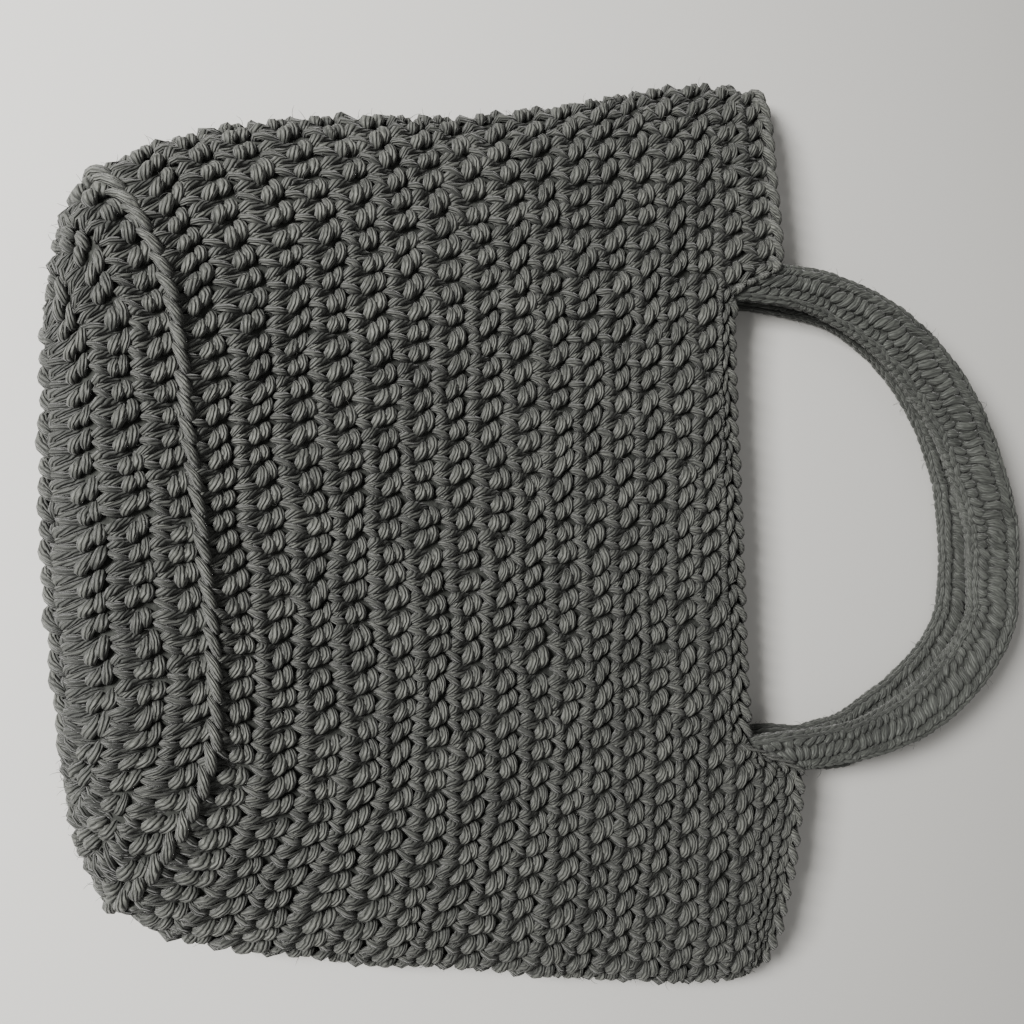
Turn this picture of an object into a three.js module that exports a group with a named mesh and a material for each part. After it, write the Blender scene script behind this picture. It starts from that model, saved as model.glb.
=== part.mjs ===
import * as THREE from "three";
import { mergeVertices } from "three/addons/utils/BufferGeometryUtils.js";

// A crochet handbag lying flat on its back, in millimetres.
// X runs across the bag, Y from the folded base to the handles, and Z up from the surface it lies on.

// The body
const mouthWidth = 334;
const baseDepth = 43;
const roundHeight = 12.1;
const roundCount = 16;
const baseRoundCount = 3.5;
const loftAtBase = 28;
const loftAtMouth = 19;
const fabricThickness = 6;
const ribDepth = 1.3;
const mouthSlope = 4;

// The chain of loops round the base, and the groove that it sits in
const ridgeWidth = 7;
const ridgeRise = 2.7;
const ridgeSeatDepth = 2.6;
const ridgeSeatMargin = 1.1;
const pressedClear = 0.05;

// The chain edge of the mouth
const braidWidth = 6;
const braidHeight = 5.4;
const braidLinks = 18;
const braidWaist = 0.9;

// The handles: how far apart the middles of a handle's roots are, where their middle lies across the bag,
// and how far each strap's outer edge is raised over its inner one
const handleSpan = 177;
const handleCentre = -5.5;
const handleReach = 138;
const rootWidth = 15.2;
const strapWidth = 22;
const strapThickness = 5.6;
const strapRows = 4;
const frontStrapRise = 10;
const backStrapRise = 4.2;
const strapsApart = 0.4;

// What touches keeps this much room, and twice that where a handle's root stands on the steep edge under it
const clearance = 0.3;
const rootClearance = 2 * clearance;

// Shape of a round: how square its edges are, in front and at the flattened back, how square the fold of
// the base is, past which share of the half width the sides curl in, and how finely it is faceted
const frontSquareness = 9;
const backSquareness = 26;
const foldSquareness = 4;
const curlStart = 0.8;
const curlFacets = 6;
const widestFacet = 0.13;
const ribShoulder = 0.25;
const foldInsideShares = [1, 0.93, 0.8, 0.55, 0];
const foldOutsideShares = [0.97, 0.993, 1];
const stationsPerRow = 2;
const tangentReach = 0.05;

// Half widths of the body at some rounds, as shares of half the mouth's width
const SIDE_EDGES = [
  { round: 0, left: 0.605, right: 0.605 },
  { round: 1, left: 0.668, right: 0.672 },
  { round: 2, left: 0.705, right: 0.707 },
  { round: 4, left: 0.757, right: 0.760 },
  { round: 6, left: 0.792, right: 0.808 },
  { round: 8, left: 0.818, right: 0.850 },
  { round: 10, left: 0.862, right: 0.898 },
  { round: 12, left: 0.915, right: 0.940 },
  { round: 14, left: 0.968, right: 0.982 },
  { round: 16, left: 1, right: 1 },
  { round: 17, left: 1, right: 0.982 },
];

// Height of the lying body at some rounds, as a share of the way from its base height to its mouth height
const LOFT = [
  { round: 0, fall: 0 },
  { round: 3, fall: 0.28 },
  { round: 8, fall: 0.62 },
  { round: 17, fall: 1 },
];

// The edge of the base and its fold, across the bag, as shares of the base's depth
const BASE_OUTLINE = [
  { across: -1, edge: 0.3, fold: 0.3 },
  { across: -0.96, edge: 0.38, fold: 0.21 },
  { across: -0.87, edge: 0.53, fold: 0.115 },
  { across: -0.63, edge: 0.74, fold: 0.02 },
  { across: -0.25, edge: 0.84, fold: 0 },
  { across: 0.05, edge: 0.93, fold: 0.02 },
  { across: 0.35, edge: 0.99, fold: 0.07 },
  { across: 0.52, edge: 1, fold: 0.1 },
  { across: 0.66, edge: 0.93, fold: 0.13 },
  { across: 0.82, edge: 0.73, fold: 0.2 },
  { across: 0.94, edge: 0.53, fold: 0.31 },
  { across: 1, edge: 0.4, fold: 0.4 },
];

// The mouth's edge in its three stretches, from left to right: the place within the stretch, and how far the
// edge rises past the last whole round, in rounds. Between two stretches the edge steps under a handle.
const MOUTH_EDGE = [
  { stretch: "left", place: 0, rise: 1.25 },
  { stretch: "left", place: 0.35, rise: 1.25 },
  { stretch: "left", place: 1, rise: 1.48 },
  { stretch: "opening", place: 0, rise: -0.5 },
  { stretch: "opening", place: 0.1, rise: -0.68 },
  { stretch: "opening", place: 0.47, rise: -0.55 },
  { stretch: "opening", place: 1, rise: -0.33 },
  { stretch: "right", place: 0, rise: 1.95 },
  { stretch: "right", place: 0.2, rise: 1.85 },
  { stretch: "right", place: 0.65, rise: 1.3 },
  { stretch: "right", place: 1, rise: 0.7 },
];

// The front strap's middle line: across in shares of half the handle's span, out in shares of its reach past
// the mouth, the strap's width as a share, how far its outer edge is raised as a share of the strap's rise,
// and how far it has settled from the mouth's height to its own
const FRONT_STRAP = [
  { across: -1, out: 0.16, width: 0.69, raised: 0.1, settled: 0 },
  { across: -0.99, out: 0.27, width: 0.76, raised: 0.29, settled: 0.5 },
  { across: -0.945, out: 0.39, width: 0.86, raised: 0.49, settled: 1 },
  { across: -0.865, out: 0.53, width: 0.95, raised: 0.65, settled: 1 },
  { across: -0.72, out: 0.675, width: 1.04, raised: 0.82, settled: 1 },
  { across: -0.51, out: 0.81, width: 1.08, raised: 0.93, settled: 1 },
  { across: -0.22, out: 0.92, width: 1.06, raised: 1, settled: 1 },
  { across: 0.12, out: 0.99, width: 1.03, raised: 1, settled: 1 },
  { across: 0.425, out: 0.99, width: 0.97, raised: 0.97, settled: 1 },
  { across: 0.645, out: 0.91, width: 0.96, raised: 0.93, settled: 1 },
  { across: 0.83, out: 0.755, width: 0.94, raised: 0.87, settled: 1 },
  { across: 0.935, out: 0.6, width: 0.84, raised: 0.75, settled: 1 },
  { across: 0.99, out: 0.44, width: 0.72, raised: 0.52, settled: 1 },
  { across: 1, out: 0.31, width: 0.68, raised: 0.25, settled: 0.5 },
  { across: 1, out: 0.2, width: 0.69, raised: 0.05, settled: 0 },
];

// The same for the back strap
const BACK_STRAP = [
  { across: -1, out: 0.14, width: 0.72, raised: 0, settled: 0 },
  { across: -1.005, out: 0.25, width: 0.86, raised: 0.4, settled: 0.5 },
  { across: -0.985, out: 0.4, width: 0.95, raised: 0.78, settled: 1 },
  { across: -0.91, out: 0.535, width: 1, raised: 1, settled: 1 },
  { across: -0.78, out: 0.665, width: 1, raised: 1, settled: 1 },
  { across: -0.62, out: 0.77, width: 1, raised: 1, settled: 1 },
  { across: -0.41, out: 0.86, width: 1, raised: 1, settled: 1 },
  { across: -0.12, out: 0.93, width: 1, raised: 1, settled: 1 },
  { across: 0.2, out: 0.95, width: 1, raised: 1, settled: 1 },
  { across: 0.445, out: 0.935, width: 1, raised: 1, settled: 1 },
  { across: 0.625, out: 0.875, width: 1, raised: 1, settled: 1 },
  { across: 0.775, out: 0.77, width: 1, raised: 1, settled: 1 },
  { across: 0.925, out: 0.6, width: 1, raised: 0.9, settled: 1 },
  { across: 1.02, out: 0.43, width: 0.94, raised: 0.6, settled: 0.9 },
  { across: 1.025, out: 0.3, width: 0.8, raised: 0.22, settled: 0.5 },
  { across: 0.99, out: 0.2, width: 0.66, raised: 0, settled: 0 },
];

// Across the rope round the base: how wide, how far proud of the bag and how far sunk into the groove
const RIDGE_SECTION = [
  { wide: 0, proud: 0, sunk: 0.8 },
  { wide: 0.5, proud: 0, sunk: 0.03 },
  { wide: 0.32, proud: 0.8, sunk: 0 },
  { wide: 0, proud: 1, sunk: 0 },
  { wide: -0.32, proud: 0.8, sunk: 0 },
  { wide: -0.5, proud: 0, sunk: 0.03 },
];

// Across the mouth's chain edge: up through the layer, and out past the mouth
const BRAID_SECTION = [
  { up: -0.5, out: 0 },
  { up: -0.5, out: 0.6 },
  { up: -0.28, out: 1 },
  { up: 0.28, out: 1 },
  { up: 0.5, out: 0.6 },
  { up: 0.5, out: 0 },
];

// A strap's edges and underside: wide across it, and high through it; its ribs rise between the edges
const STRAP_EDGE = { wide: 0.5, high: 0.1 };
const STRAP_UNDERSIDE = [
  { wide: 0.42, high: -0.42 },
  { wide: 0, high: -0.5 },
  { wide: -0.42, high: -0.42 },
];
const ribCrest = 0.5;
const ribGroove = 0.34;

const wallColour = new THREE.Color(0x565c57);
const edgeColour = new THREE.Color(0x646b66);
const handleColour = new THREE.Color(0x5d645f);

// Reads a table's column at a value of its key, smoothly and without overshoot
function valueAt(table, key, column, at) {
  const last = table.length - 1;
  if (at <= table[0][key]) return table[0][column];
  if (at >= table[last][key]) return table[last][column];
  const next = table.findIndex((row) => row[key] > at);
  const step = (row) => {
    const run = table[row + 1][key] - table[row][key];
    return (table[row + 1][column] - table[row][column]) / run;
  };
  const slopeAt = (row) => {
    if (row === 0) return step(0);
    if (row === last) return step(last - 1);
    const before = step(row - 1);
    const after = step(row);
    return before * after > 0 ? (2 * before * after) / (before + after) : 0;
  };
  const low = table[next - 1];
  const high = table[next];
  const run = high[key] - low[key];
  const t = (at - low[key]) / run;
  const rise = high[column] - low[column];
  const bend = slopeAt(next - 1) * run;
  const settle = slopeAt(next) * run;
  const curve = (3 * rise - 2 * bend - settle) * t ** 2 + (bend + settle - 2 * rise) * t ** 3;
  return low[column] + bend * t + curve;
}

const mouthHalf = mouthWidth / 2;
const lastWholeRound = baseDepth + roundCount * roundHeight;
const ridgeSeatReach = ridgeWidth / 2 + ridgeSeatMargin;
const leftRoot = handleCentre - handleSpan / 2;
const rightRoot = handleCentre + handleSpan / 2;

function loftAt(round) {
  return loftAtBase + (loftAtMouth - loftAtBase) * valueAt(LOFT, "round", "fall", round);
}

function halfWidthAt(round, across) {
  return mouthHalf * valueAt(SIDE_EDGES, "round", across < 0 ? "left" : "right", round);
}

// The corners of the mouth's edge: where each one is across the bag, and how far it rises
const stretches = {
  left: [-halfWidthAt(roundCount + 1, -1), leftRoot - rootWidth / 2],
  opening: [leftRoot + rootWidth / 2, rightRoot - rootWidth / 2],
  right: [rightRoot + rootWidth / 2, halfWidthAt(roundCount + 1, 1)],
};
const mouthCorners = MOUTH_EDGE.map(({ stretch, place, rise }) => {
  const [start, end] = stretches[stretch];
  return { x: start + (end - start) * place, rise };
});

// The stops across a round: bunched where the sides curl, and at each corner of the mouth's edge between
function stopsAcross() {
  const stops = [];
  for (let facet = 0; facet <= curlFacets; facet += 1) {
    const share = 1 - (1 - curlStart) * (facet / curlFacets) ** 2;
    stops.push(share, -share);
  }
  for (const { x } of mouthCorners) {
    const across = x / halfWidthAt(roundCount + 1, x);
    if (Math.abs(across) < curlStart) stops.push(across);
  }
  stops.sort((a, b) => a - b);
  const filled = [stops[0]];
  for (const stop of stops.slice(1)) {
    const from = filled[filled.length - 1];
    const parts = Math.ceil((stop - from) / widestFacet);
    for (let part = 1; part <= parts; part += 1) filled.push(from + ((stop - from) * part) / parts);
  }
  return filled;
}

// The stops around one round: how far across, and how far up or down from its middle height
function stopsAround() {
  const front = stopsAcross();
  const back = front.slice(1, -1).reverse();
  const lift = (across, squareness) => Math.sqrt(Math.max(0, 1 - Math.abs(across) ** squareness));
  return [
    ...front.map((across) => ({ across, lift: lift(across, frontSquareness) })),
    ...back.map((across) => ({ across, lift: -lift(across, backSquareness) })),
  ];
}

const ringStops = stopsAround();
const pointsAround = ringStops.length;

function mouthEdgeAt(x) {
  const rise = valueAt(mouthCorners, "x", "rise", x);
  return lastWholeRound + (mouthSlope * x) / mouthHalf + rise * roundHeight;
}

// How far along the bag a point of a round lies; the last two rounds follow the mouth's raised sections
function alongAt(across, round, x) {
  const baseEdge = baseDepth * valueAt(BASE_OUTLINE, "across", "edge", across);
  const wholeRounds = Math.min(round, roundCount - 1) / roundCount;
  const level = lastWholeRound + mouthSlope * across;
  const along = baseEdge + (level - baseEdge) * wholeRounds;
  const extra = Math.max(0, round - (roundCount - 1)) / 2;
  return along + (mouthEdgeAt(x) - along) * extra;
}

// The mouth's edge as the wall's facets have it
function facetedMouthEdgeAt(x) {
  const front = ringStops.slice(0, pointsAround / 2 + 1);
  const corners = front.map(({ across }) => across * halfWidthAt(roundCount + 1, across));
  const next = corners.findIndex((corner) => corner > x);
  const [low, high] = [corners[next - 1], corners[next]];
  const share = (x - low) / (high - low);
  return mouthEdgeAt(low) * (1 - share) + mouthEdgeAt(high) * share;
}

// How far a point of an inner surface is pulled in sideways, which only the curled sides need
function pulledIn(across, inset) {
  return (inset * Math.sign(across) * Math.max(0, Math.abs(across) - curlStart)) / (1 - curlStart);
}

// Depth of the groove for the base ridge, at a distance from the base's edge
function seatInset(distance) {
  return ridgeSeatDepth * Math.max(0, 1 - distance / ridgeSeatReach);
}

function wallPoint(stop, round, inset) {
  const middle = loftAt(round) / 2;
  const x = stop.across * halfWidthAt(round, stop.across) - pulledIn(stop.across, inset);
  return new THREE.Vector3(x, alongAt(stop.across, round, x), middle + stop.lift * (middle - inset));
}

// A point of the folded base: 0 at its edge, 1 at the fold
function basePoint(stop, share, inset, foldInset) {
  const middle = loftAt(0) / 2;
  const edge = baseDepth * valueAt(BASE_OUTLINE, "across", "edge", stop.across);
  const fold = baseDepth * valueAt(BASE_OUTLINE, "across", "fold", stop.across);
  const depth = Math.max(0, edge - fold - foldInset);
  const surfaceInset = inset + (foldInset > 0 ? 0 : seatInset(depth * share));
  const sideInset = foldInset > 0 ? inset : ridgeSeatDepth;
  const x = stop.across * halfWidthAt(0, stop.across) - pulledIn(stop.across, sideInset);
  const closing = Math.sqrt(Math.max(0, 1 - share ** foldSquareness));
  const z = middle + stop.lift * (middle - surfaceInset) * closing;
  return new THREE.Vector3(x, edge - depth * share - clearance / 2, z);
}

// Builds one closed surface from rows of points, where each row is a loop. The last row joins the first one,
// or each end is capped, or it is left as it is because it has already closed to a line.
function closedSurface(rows, ends) {
  const count = rows[0].length;
  const positions = rows.flatMap((row) => row.flatMap((point) => point.toArray()));
  const faces = [];
  const addFace = (a, b, c) => faces.push(a, b, c);
  const bands = ends === "joined" ? rows.length : rows.length - 1;
  for (let row = 0; row < bands; row += 1) {
    const nextRow = (row + 1) % rows.length;
    for (let column = 0; column < count; column += 1) {
      const nextColumn = (column + 1) % count;
      const a = row * count + column;
      const b = row * count + nextColumn;
      const c = nextRow * count + nextColumn;
      const d = nextRow * count + column;
      addFace(a, b, c);
      addFace(a, c, d);
    }
  }
  if (ends === "capped") {
    for (const [row, turned] of [[0, true], [rows.length - 1, false]]) {
      const centre = rows[row].reduce((sum, point) => sum.add(point), new THREE.Vector3());
      centre.divideScalar(count);
      const hub = positions.length / 3;
      positions.push(...centre.toArray());
      for (let column = 0; column < count; column += 1) {
        const here = row * count + column;
        const there = row * count + ((column + 1) % count);
        if (turned) addFace(hub, there, here);
        else addFace(hub, here, there);
      }
    }
  }
  return tidied(positions, faces);
}

// Merges equal points, drops faces that closed up, and turns the surface outwards
function tidied(positions, faces) {
  const loose = new THREE.BufferGeometry();
  loose.setAttribute("position", new THREE.Float32BufferAttribute(positions, 3));
  loose.setIndex(faces);
  const merged = mergeVertices(loose, 1e-3);
  const place = merged.getAttribute("position");
  const corners = merged.getIndex().array;
  const kept = [];
  let volume = 0;
  for (let face = 0; face < corners.length; face += 3) {
    const [a, b, c] = corners.slice(face, face + 3);
    if (a === b || b === c || c === a) continue;
    kept.push([a, b, c]);
    const [p, q, r] = [a, b, c].map((corner) => new THREE.Vector3().fromBufferAttribute(place, corner));
    volume += p.dot(q.cross(r));
  }
  merged.setIndex(kept.flatMap(([a, b, c]) => (volume > 0 ? [a, b, c] : [a, c, b])));
  merged.computeVertexNormals();
  return merged;
}

// The wall: its rounds as ribs outside, plain inside, from the base's edge to the mouth
function makeWall() {
  const outer = [{ round: 0, inset: ridgeSeatDepth }, { round: ridgeSeatReach / roundHeight, inset: 0 }];
  outer.push({ round: 1 - ribShoulder, inset: 0 });
  for (let round = 1; round <= roundCount; round += 1) {
    outer.push({ round, inset: ribDepth });
    outer.push({ round: round + ribShoulder, inset: 0 }, { round: round + 1 - ribShoulder, inset: 0 });
  }
  outer.push({ round: roundCount + 1, inset: ribDepth });
  const inner = [];
  for (let round = roundCount + 1; round > 1; round -= 2) inner.push({ round, inset: fabricThickness });
  inner.push({ round: 0, inset: fabricThickness });
  const rows = [...outer, ...inner].map(({ round, inset }) =>
    ringStops.map((stop) => wallPoint(stop, round, inset)),
  );
  for (const point of [...rows[0], ...rows[rows.length - 1]]) point.y += clearance / 2;
  return closedSurface(rows, "joined");
}

// The base: a folded oval whose front and back halves meet at a round nose
function makeBase() {
  const wide = 1 / baseRoundCount;
  const thick = { inset: fabricThickness, foldInset: fabricThickness };
  const inside = foldInsideShares.map((share) => ({ share, ...thick }));
  const outside = [{ share: 0, inset: 0 }, { share: ridgeSeatReach / baseDepth, inset: 0 }];
  for (let round = 1; round < baseRoundCount; round += 1) {
    outside.push({ share: (round - ribShoulder) * wide, inset: 0 });
    outside.push({ share: round * wide, inset: ribDepth }, { share: (round + ribShoulder) * wide, inset: 0 });
  }
  outside.push(...foldOutsideShares.map((share) => ({ share, inset: 0 })));
  const rows = [...inside, ...outside].map(({ share, inset, foldInset = 0 }) =>
    ringStops.map((stop) => basePoint(stop, share, inset, foldInset)),
  );
  return closedSurface(rows, "closed");
}

// The chain round the base: a low rounded rope in the groove, pressed flat where the bag lies on it
function makeRidge() {
  const seats = ringStops.map((stop) => wallPoint(stop, 0, 0));
  const rows = seats.map((seat, index) => {
    const before = seats[(index + pointsAround - 1) % pointsAround];
    const after = seats[(index + 1) % pointsAround];
    const outward = new THREE.Vector3(before.z - after.z, 0, after.x - before.x).normalize();
    const pressed = Math.max(0, -outward.z);
    return RIDGE_SECTION.map(({ wide, proud, sunk }) => {
      const offset = wide * ridgeWidth;
      const base = wide > 0 ? wallPoint(ringStops[index], offset / roundHeight, 0) : seat.clone();
      if (wide < 0) base.y += offset;
      const seated = sunk * (ridgeSeatDepth - clearance) + pressedClear * pressed;
      return base.addScaledVector(outward, proud * ridgeRise * (1 - pressed) - seated);
    });
  });
  return closedSurface(rows, "joined");
}

// The chain edge of the mouth between the two roots of a handle, at the height of the layer it edges
function makeMouthBraid(layer) {
  const start = leftRoot + rootWidth / 2 + rootClearance;
  const end = rightRoot - rootWidth / 2 - rootClearance;
  const rows = [];
  for (let link = 0; link <= braidLinks; link += 1) {
    const x = start + ((end - start) * link) / braidLinks;
    const swell = link % 2 === 0 ? braidWaist : 1;
    const seat = facetedMouthEdgeAt(x) + clearance;
    rows.push(BRAID_SECTION.map(({ up, out }) =>
      new THREE.Vector3(x, seat + out * swell * braidHeight, layer + up * swell * braidWidth),
    ));
  }
  return closedSurface(rows, "capped");
}

// A handle: a ribbed strap along its middle line, whose two ends stand on the mouth's edge.
// It leaves the mouth at one height, settles to another, and its outer edge is raised over its inner one.
function makeStrap(table, rise, rootHeight, settledHeight) {
  const route = table.map((row, index) => ({ ...row, index }));
  const mouthLevel = lastWholeRound - mouthSlope;
  const stations = stationsPerRow * (table.length - 1);
  const at = (column, place) => valueAt(route, "index", column, place);
  const middle = (place) => new THREE.Vector3(
    handleCentre + (at("across", place) * handleSpan) / 2,
    mouthLevel + at("out", place) * handleReach,
    rootHeight + (settledHeight - rootHeight) * at("settled", place),
  );
  const section = strapSection();
  const rows = [];
  for (let station = 1; station < stations; station += 1) {
    const place = station / stationsPerRow;
    const along = middle(place + tangentReach).sub(middle(place - tangentReach)).normalize();
    const outward = new THREE.Vector3(-along.y, along.x, 0).normalize();
    const width = at("width", place) * strapWidth;
    const roll = Math.asin((at("raised", place) * rise) / width);
    const across = outward.multiplyScalar(Math.cos(roll)).setZ(Math.sin(roll));
    const up = new THREE.Vector3().crossVectors(along, across).normalize();
    if (up.z < 0) up.negate();
    rows.push(section.map(({ wide, high }) =>
      middle(place).addScaledVector(across, wide * width).addScaledVector(up, high * strapThickness),
    ));
  }
  const rootRow = (middleX, side) => section.map(({ wide, high }) => {
    const x = middleX + side * wide * rootWidth;
    return new THREE.Vector3(x, facetedMouthEdgeAt(x) + rootClearance, rootHeight + high * strapThickness);
  });
  return closedSurface([rootRow(leftRoot, -1), ...rows, rootRow(rightRoot, 1)], "capped");
}

// A strap's section: one low rib for each crochet row above, plain below
function strapSection() {
  const top = [];
  for (let row = 0; row < strapRows; row += 1) {
    const left = -0.5 + row / strapRows;
    if (row > 0) top.push({ wide: left, high: ribGroove });
    top.push({ wide: left + 0.5 / strapRows, high: ribCrest });
  }
  return [{ ...STRAP_EDGE, wide: -STRAP_EDGE.wide }, ...top, STRAP_EDGE, ...STRAP_UNDERSIDE];
}

function namedMesh(name, geometry, colour) {
  const material = new THREE.MeshStandardMaterial({ color: colour, roughness: 0.95, metalness: 0 });
  const mesh = new THREE.Mesh(geometry, material);
  mesh.name = name;
  return mesh;
}

const bag = new THREE.Group();
bag.add(namedMesh("wall", makeWall(), wallColour));
bag.add(namedMesh("base", makeBase(), wallColour));
bag.add(namedMesh("base_ridge", makeRidge(), edgeColour));
bag.add(namedMesh("mouth_braid_front", makeMouthBraid(loftAtMouth - braidWidth / 2), edgeColour));
bag.add(namedMesh("mouth_braid_back", makeMouthBraid(braidWidth / 2), edgeColour));

// The back strap lies on the surface, and the front strap's inner edge just clears the middle of the back one
const backRootHeight = strapThickness / 2 + clearance;
const backSettledHeight = backRootHeight + backStrapRise / 2;
const frontRootHeight = loftAtMouth - strapThickness / 2;
const frontSettledHeight = backSettledHeight + strapThickness + strapsApart + frontStrapRise / 2;
const frontHandle = makeStrap(FRONT_STRAP, frontStrapRise, frontRootHeight, frontSettledHeight);
const backHandle = makeStrap(BACK_STRAP, backStrapRise, backRootHeight, backSettledHeight);
bag.add(namedMesh("front_handle", frontHandle, handleColour));
bag.add(namedMesh("back_handle", backHandle, handleColour));

// The origin is under the middle of the bag, on the surface that it lies on
const extent = new THREE.Box3().setFromObject(bag);
const middleOfBag = extent.getCenter(new THREE.Vector3());
bag.position.set(-middleOfBag.x, -middleOfBag.y, -extent.min.z);

const group = new THREE.Group();
group.add(bag);
export default group;
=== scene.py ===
import math

import bmesh
import bpy
import numpy as np
from mathutils import Matrix, Vector


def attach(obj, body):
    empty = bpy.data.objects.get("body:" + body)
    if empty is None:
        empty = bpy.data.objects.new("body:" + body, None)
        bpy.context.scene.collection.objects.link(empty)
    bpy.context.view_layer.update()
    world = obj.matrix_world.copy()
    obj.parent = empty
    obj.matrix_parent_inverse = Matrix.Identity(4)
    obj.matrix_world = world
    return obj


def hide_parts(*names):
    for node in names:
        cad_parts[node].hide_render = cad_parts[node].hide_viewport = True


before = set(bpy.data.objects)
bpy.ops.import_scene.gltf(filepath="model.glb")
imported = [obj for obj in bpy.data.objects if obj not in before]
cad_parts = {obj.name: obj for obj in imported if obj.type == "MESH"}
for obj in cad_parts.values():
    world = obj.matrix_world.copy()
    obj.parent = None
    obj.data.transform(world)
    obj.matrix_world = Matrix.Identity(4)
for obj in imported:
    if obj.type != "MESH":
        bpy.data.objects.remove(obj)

bl_info = {
    "name": "Crochet handbag",
    "version": (1, 0, 0),
    "blender": (4, 5, 0),
    "location": "3D View > Sidebar > Handbag",
    "description": "Crochets the handbag stitch by stitch over its solids and lights it on a pale floor",
    "category": "Object",
}

MILLIMETRE = 0.001

# The lengths below are in millimetres in the bag's own frame: X across the bag, Y from the middle of the
# folded base to the handles and Z up. BAG_MIDDLE is the middle of the whole bag in that frame.
BAG_MIDDLE = np.array([-0.036, 189.504, 0.0])

MOUTH_HALF = 167.0
BASE_DEPTH = 43.0
ROUND_HEIGHT = 12.1
ROUNDS = 16
BASE_ROUNDS = 3.5
LOFT_AT_BASE = 28.0
LOFT_AT_MOUTH = 19.0
MOUTH_SLOPE = 4.0
LAST_ROUND = BASE_DEPTH + ROUNDS * ROUND_HEIGHT
BASE_HALF = 0.605 * MOUTH_HALF
FRONT_SQUARENESS = 9
BACK_SQUARENESS = 26
FOLD_SQUARENESS = 4
MOUTH_AROUND = 4 * MOUTH_HALF + 30.0

HANDLE_SPAN = 177.0
HANDLE_CENTRE = -5.5
HANDLE_REACH = 138.0
ROOT_WIDTH = 15.2
STRAP_WIDTH = 22.0
STRAP_THICKNESS = 5.6
FRONT_STRAP_RISE = 10.0
BACK_STRAP_RISE = 4.2
STRAPS_APART = 0.4
ROOT_CLEARANCE = 0.3
LEFT_ROOT = HANDLE_CENTRE - HANDLE_SPAN / 2
RIGHT_ROOT = HANDLE_CENTRE + HANDLE_SPAN / 2
OPENING_START = LEFT_ROOT + ROOT_WIDTH / 2
OPENING_END = RIGHT_ROOT - ROOT_WIDTH / 2

# The sides' edges as shares of MOUTH_HALF, how the loft falls towards the mouth, the folded base's two edges
# as shares of BASE_DEPTH, and how far the mouth's edge rises in rounds along each of its stretches
SIDE_EDGES = {
    "round": [0, 1, 2, 4, 6, 8, 10, 12, 14, 16, 17],
    "left": [0.605, 0.668, 0.705, 0.757, 0.792, 0.818, 0.862, 0.915, 0.968, 1, 1],
    "right": [0.605, 0.672, 0.707, 0.76, 0.808, 0.85, 0.898, 0.94, 0.982, 1, 0.982],
}
LOFT = {"round": [0, 3, 8, 17], "fall": [0, 0.28, 0.62, 1]}
BASE_OUTLINE = {
    "across": [-1, -0.96, -0.87, -0.63, -0.25, 0.05, 0.35, 0.52, 0.66, 0.82, 0.94, 1],
    "edge": [0.3, 0.38, 0.53, 0.74, 0.84, 0.93, 0.99, 1, 0.93, 0.73, 0.53, 0.4],
    "fold": [0.3, 0.21, 0.115, 0.02, 0, 0.02, 0.07, 0.1, 0.13, 0.2, 0.31, 0.4],
}
MOUTH_EDGE = [
    ("left", 0, 1.25), ("left", 0.35, 1.25), ("left", 1, 1.48),
    ("opening", 0, -0.5), ("opening", 0.1, -0.68), ("opening", 0.47, -0.55), ("opening", 1, -0.33),
    ("right", 0, 1.95), ("right", 0.2, 1.85), ("right", 0.65, 1.3), ("right", 1, 0.7),
]

# The middle lines of the straps: across in half spans, out in reaches, and as shares the width, the raised
# outer edge and how far each has come from its root's height to the height that it lies at
FRONT_STRAP = {
    "across": [-1, -0.99, -0.945, -0.865, -0.72, -0.51, -0.22, 0.12, 0.425, 0.645, 0.83, 0.935, 0.99, 1, 1],
    "out": [0.16, 0.27, 0.39, 0.53, 0.675, 0.81, 0.92, 0.99, 0.99, 0.91, 0.755, 0.6, 0.44, 0.31, 0.2],
    "width": [0.69, 0.76, 0.86, 0.95, 1.04, 1.08, 1.06, 1.03, 0.97, 0.96, 0.94, 0.84, 0.72, 0.68, 0.69],
    "raised": [0.1, 0.29, 0.49, 0.65, 0.82, 0.93, 1, 1, 0.97, 0.93, 0.87, 0.75, 0.52, 0.25, 0.05],
    "settled": [0, 0.5, 1, 1, 1, 1, 1, 1, 1, 1, 1, 1, 1, 0.5, 0],
}
BACK_STRAP = {
    "across": [-1, -1.005, -0.985, -0.91, -0.78, -0.62, -0.41, -0.12, 0.2, 0.445, 0.625, 0.775, 0.925, 1.02,
               1.025, 0.99],
    "out": [0.14, 0.25, 0.4, 0.535, 0.665, 0.77, 0.86, 0.93, 0.95, 0.935, 0.875, 0.77, 0.6, 0.43, 0.3, 0.2],
    "width": [0.72, 0.86, 0.95, 1, 1, 1, 1, 1, 1, 1, 1, 1, 1, 0.94, 0.8, 0.66],
    "raised": [0, 0.4, 0.78, 1, 1, 1, 1, 1, 1, 1, 1, 1, 0.9, 0.6, 0.22, 0],
    "settled": [0, 0.5, 1, 1, 1, 1, 1, 1, 1, 1, 1, 1, 1, 0.9, 0.5, 0],
}

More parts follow.
